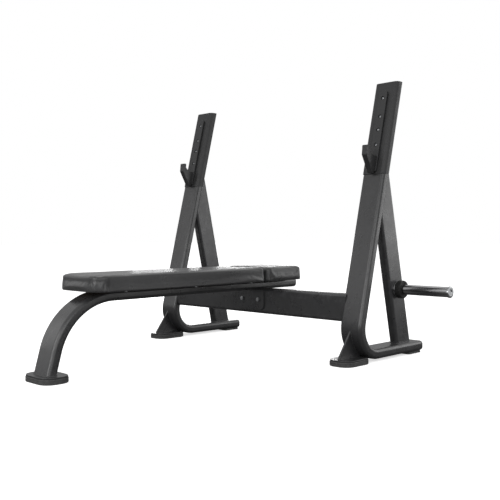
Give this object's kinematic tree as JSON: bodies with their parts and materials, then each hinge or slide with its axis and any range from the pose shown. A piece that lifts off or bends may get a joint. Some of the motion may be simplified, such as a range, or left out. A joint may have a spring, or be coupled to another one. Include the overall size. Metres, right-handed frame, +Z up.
{
  "type": "olympic bench press",
  "caption": "Flat weight bench with A-frame uprights, hooked bar catches, weight storage horns and a padded bench on a bent-tube leg.",
  "frame": {"origin": "on the floor, at the centre of the footprint's box", "axes": "+X across the bench towards the right-hand upright, -Y towards the foot end, +Y towards the head end, +Z up"},
  "size_m": [1.75, 1.6, 1.2],
  "materials": {
    "frame": "satin, fine-textured black powder coat",
    "rack_cover": "moulded, low sheen",
    "bar_catch": "satin black",
    "pad_vinyl": "upholstery vinyl with a fine grain",
    "pad_board": "birch plywood",
    "rubber": "moulded, matt",
    "end_cap_plastic": "moulded",
    "horn_steel": "dark polished tube",
    "horn_cap_chrome": "polished",
    "zinc_fastener": "zinc plated"
  },
  "bodies": {
    "root": {"spine_tube": "frame", "spine_rear_cap": "end_cap_plastic", "crossbeam": "frame", "front_foot_plate": "frame", "front_rubber_foot": "rubber", "left_upright_tube": "frame", "left_rear_brace": "frame", "left_gusset": "frame", "left_foot_plate": "frame", "left_rubber_foot": "rubber", "left_rear_foot": "rubber", "left_rail_cap": "end_cap_plastic", "left_rack_cover": "rack_cover", "left_bar_catch": "bar_catch", "left_catch_bolt_1": "zinc_fastener", "left_catch_bolt_2": "zinc_fastener", "left_catch_bolt_3": "zinc_fastener", "left_catch_bolt_4": "zinc_fastener", "left_weight_horn": "horn_steel", "left_horn_bumper": "rubber", "left_horn_end_cap": "horn_cap_chrome", "left_saddle_bolt": "zinc_fastener", "left_saddle_nut": "zinc_fastener", "right_upright_tube": "frame", "right_rear_brace": "frame", "right_gusset": "frame", "right_foot_plate": "frame", "right_rubber_foot": "rubber", "right_rear_foot": "rubber", "right_rail_cap": "end_cap_plastic", "right_rack_cover": "rack_cover", "right_bar_catch": "bar_catch", "right_catch_bolt_1": "zinc_fastener", "right_catch_bolt_2": "zinc_fastener", "right_catch_bolt_3": "zinc_fastener", "right_catch_bolt_4": "zinc_fastener", "right_weight_horn": "horn_steel", "right_horn_bumper": "rubber", "right_horn_end_cap": "horn_cap_chrome", "right_saddle_bolt": "zinc_fastener", "right_saddle_nut": "zinc_fastener", "saddle_front_plate": "frame", "saddle_rear_plate": "frame", "main_pad": "pad_vinyl", "head_pad": "pad_vinyl", "main_pad_board": "pad_board", "head_pad_board": "pad_board", "pad_crossbar_1": "frame", "left_pad_bolt_1": "zinc_fastener", "right_pad_bolt_1": "zinc_fastener", "pad_crossbar_2": "frame", "left_pad_bolt_2": "zinc_fastener", "right_pad_bolt_2": "zinc_fastener", "pad_crossbar_3": "frame", "left_pad_bolt_3": "zinc_fastener", "right_pad_bolt_3": "zinc_fastener", "pad_crossbar_4": "frame", "left_pad_bolt_4": "zinc_fastener", "right_pad_bolt_4": "zinc_fastener"}
  },
  "joints": []
}
